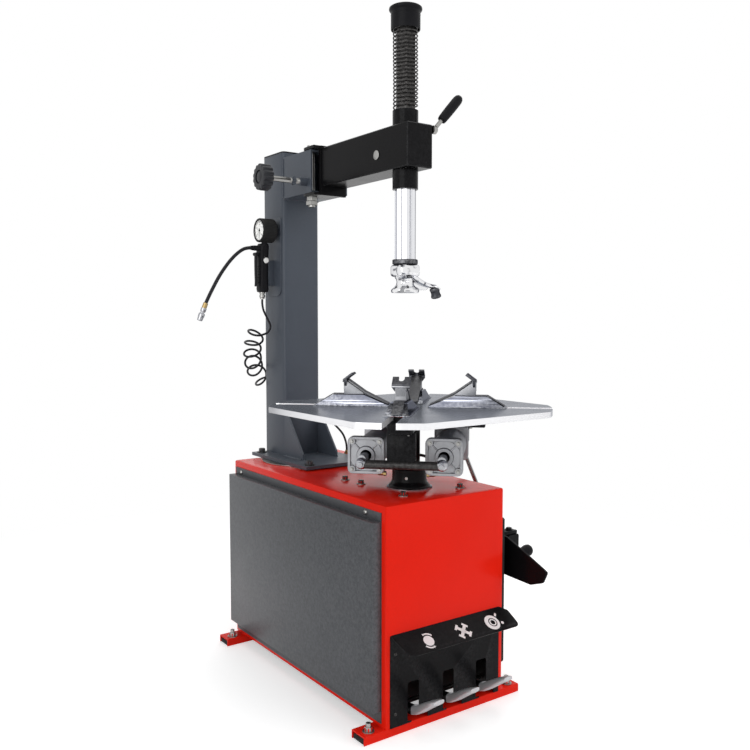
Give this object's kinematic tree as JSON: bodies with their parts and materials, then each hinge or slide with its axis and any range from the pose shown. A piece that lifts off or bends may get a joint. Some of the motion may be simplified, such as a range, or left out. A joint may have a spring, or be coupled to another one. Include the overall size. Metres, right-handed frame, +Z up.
{
  "type": "tire changer",
  "caption": "Swing-arm tire changer with a clamping turntable on a sheet housing, a column, a sprung tool shaft, a side bead breaker and foot pedals.",
  "frame": {"origin": "on the floor, under the middle of the machine's box measured without the air hoses", "axes": "+X to the operator's right, +Y from the pedals to the column, +Z up"},
  "size_m": [0.6595, 1.0733, 1.827],
  "materials": {
    "red_paint": "gloss",
    "grey_paint": "satin",
    "black_paint": "satin",
    "black_rubber": "matte",
    "black_plastic": "satin",
    "steel": "brushed",
    "chrome": "polished",
    "zinc": "satin",
    "cast_metal": "cast",
    "dark_steel": "satin",
    "cast_iron": "cast"
  },
  "bodies": {
    "frame": {"breaker_cylinder": "cast_metal", "breaker_pivot": "dark_steel", "cabinet_shell": "red_paint", "coil_hose": "black_plastic", "column": "grey_paint", "column_cap": "black_plastic", "column_spacer": "zinc", "drive_belt": "black_rubber", "front_foot": "red_paint", "gauge_case": "black_plastic", "gearbox": "cast_iron", "gun_hanger": "black_paint", "hinge_bracket": "grey_paint", "hinge_pin": "chrome", "hub_collar": "black_paint", "inflator_body": "black_plastic", "motor": "grey_paint", "pedal_guard": "black_paint", "rear_foot": "red_paint", "rubber_buffer": "black_rubber", "side_cover": "grey_paint", "valve_block": "cast_metal", "whip_chuck": "chrome", "whip_hose": "black_rubber"},
    "table": {"turntable": "steel", "table_spindle": "dark_steel"},
    "slide_front": {"slide_front": "chrome", "jaw_front": "dark_steel", "clamp_yoke": "black_paint"},
    "slide_rear": {"slide_rear": "chrome", "jaw_rear": "dark_steel", "clamp_cylinder_left": "cast_metal", "clamp_cylinder_right": "cast_metal", "clamp_hose": "black_rubber"},
    "slide_left": {"slide_left": "chrome", "jaw_left": "dark_steel"},
    "slide_right": {"slide_right": "chrome", "jaw_right": "dark_steel"},
    "gearbox_pulley": {"gearbox_pulley": "steel"},
    "motor_pulley": {"motor_pulley": "steel"},
    "pedal_table": {"pedal_table": "cast_metal"},
    "pedal_clamp": {"pedal_clamp": "cast_metal"},
    "pedal_breaker": {"pedal_breaker": "cast_metal"},
    "swing_arm": {"swing_arm": "black_paint", "upper_guide": "black_paint", "lower_guide": "black_paint", "tool_spring": "dark_steel"},
    "lock_screw": {"lock_screw": "chrome"},
    "hand_wheel": {"hand_wheel": "black_plastic"},
    "tool": {"tool_shaft": "chrome", "shaft_cap": "black_plastic", "mount_head": "chrome", "head_insert": "dark_steel"},
    "lock_lever": {"lock_lever": "black_plastic"},
    "breaker_arm": {"breaker_arm": "black_paint", "breaker_handle": "steel"},
    "breaker_blade": {"breaker_blade": "black_paint"},
    "breaker_rod": {"breaker_rod": "chrome"},
    "trigger": {"inflator_trigger": "black_plastic"},
    "needle": {"gauge_needle": "black_plastic"}
  },
  "joints": [
    {"name": "turntable_spin", "type": "hinge", "parent": "frame", "child": "table", "pos_m": [-0.00728, -0.187, 0.7855], "axis": [0, 0, 1], "continuous": true},
    {"name": "jaw_rear_slide", "type": "slide", "parent": "table", "child": "slide_rear", "axis": [0.7071, 0.7071, 0], "range_m": [-0.012, 0.1]},
    {"name": "jaw_front_slide", "type": "slide", "parent": "table", "child": "slide_front", "axis": [-0.7071, -0.7071, 0], "range_m": [-0.012, 0.1]},
    {"name": "jaw_left_slide", "type": "slide", "parent": "table", "child": "slide_left", "axis": [-0.7071, 0.7071, 0], "range_m": [-0.012, 0.1]},
    {"name": "jaw_right_slide", "type": "slide", "parent": "table", "child": "slide_right", "axis": [0.7071, -0.7071, 0], "range_m": [-0.012, 0.1]},
    {"name": "gearbox_pulley_spin", "type": "hinge", "parent": "frame", "child": "gearbox_pulley", "pos_m": [-0.00728, -0.087, 0.43], "axis": [0, 1, 0], "continuous": true},
    {"name": "motor_pulley_spin", "type": "hinge", "parent": "frame", "child": "motor_pulley", "pos_m": [-0.00728, -0.087, 0.2], "axis": [0, 1, 0], "continuous": true},
    {"name": "pedal_table_press", "type": "hinge", "parent": "frame", "child": "pedal_table", "pos_m": [-0.11728, -0.295, 0.048], "axis": [1, 0, 0], "range_deg": [-8, 12], "stiffness_Nm_per_rad": 20, "springref_deg": -0.63},
    {"name": "pedal_clamp_press", "type": "hinge", "parent": "frame", "child": "pedal_clamp", "pos_m": [-0.00428, -0.295, 0.048], "axis": [1, 0, 0], "range_deg": [0, 12], "stiffness_Nm_per_rad": 8, "springref_deg": -8.59},
    {"name": "pedal_breaker_press", "type": "hinge", "parent": "frame", "child": "pedal_breaker", "pos_m": [0.10772, -0.295, 0.048], "axis": [1, 0, 0], "range_deg": [0, 12], "stiffness_Nm_per_rad": 8, "springref_deg": -8.59},
    {"name": "arm_swing", "type": "hinge", "parent": "frame", "child": "swing_arm", "pos_m": [-0.05228, 0.231, 1.45], "axis": [0, 0, 1], "range_deg": [-68, 0]},
    {"name": "hand_wheel_turn", "type": "hinge", "parent": "lock_screw", "child": "hand_wheel", "pos_m": [-0.22928, 0.231, 1.42], "axis": [1, 0, 0], "range_deg": [0, 1800]},
    {"name": "lock_screw_slide", "type": "slide", "parent": "frame", "child": "lock_screw", "axis": [-1, 0, 0], "range_m": [0, 0.0101]},
    {"name": "tool_slide", "type": "slide", "parent": "swing_arm", "child": "tool", "axis": [0, 0, -1], "range_m": [0, 0.14], "stiffness_N_per_m": 1200, "springref_m": -0.12, "deforming": ["tool_spring"]},
    {"name": "lock_lever_turn", "type": "hinge", "parent": "swing_arm", "child": "lock_lever", "pos_m": [0.03472, -0.225, 1.503], "axis": [1, 0, 0], "range_deg": [-60, 30]},
    {"name": "breaker_arm_swing", "type": "hinge", "parent": "frame", "child": "breaker_arm", "pos_m": [0.23772, 0.355, 0.396], "axis": [0, 0, 1], "range_deg": [0, 25]},
    {"name": "breaker_rod_slide", "type": "slide", "parent": "frame", "child": "breaker_rod", "axis": [1, 0, 0], "range_m": [0, 0.166]},
    {"name": "blade_tilt", "type": "hinge", "parent": "breaker_arm", "child": "breaker_blade", "pos_m": [0.2834, -0.26705, 0.396], "axis": [0, 0, 1], "range_deg": [0, 12]},
    {"name": "trigger_squeeze", "type": "hinge", "parent": "frame", "child": "trigger", "pos_m": [-0.13478, 0.435, 1.218], "axis": [0, -1, 0], "range_deg": [0, 2.2], "stiffness_Nm_per_rad": 0.5, "springref_deg": -2.86},
    {"name": "gauge_needle_turn", "type": "hinge", "parent": "frame", "child": "needle", "pos_m": [-0.13728, 0.41, 1.29], "axis": [1, 0, 0], "range_deg": [0, 270], "stiffness_Nm_per_rad": 0.0005, "springref_deg": -5.73}
  ],
  "couplings": [
    {"joint": "jaw_front_slide", "follows": "jaw_rear_slide", "ratio": 1},
    {"joint": "jaw_left_slide", "follows": "jaw_rear_slide", "ratio": 1},
    {"joint": "jaw_right_slide", "follows": "jaw_rear_slide", "ratio": 1},
    {"joint": "motor_pulley_spin", "follows": "gearbox_pulley_spin", "ratio": 2.4545},
    {"joint": "lock_screw_slide", "follows": "hand_wheel_turn", "m_per_rad": 0.00031831},
    {"joint": "breaker_rod_slide", "follows": "breaker_arm_swing", "m_per_rad": 0.38}
  ]
}
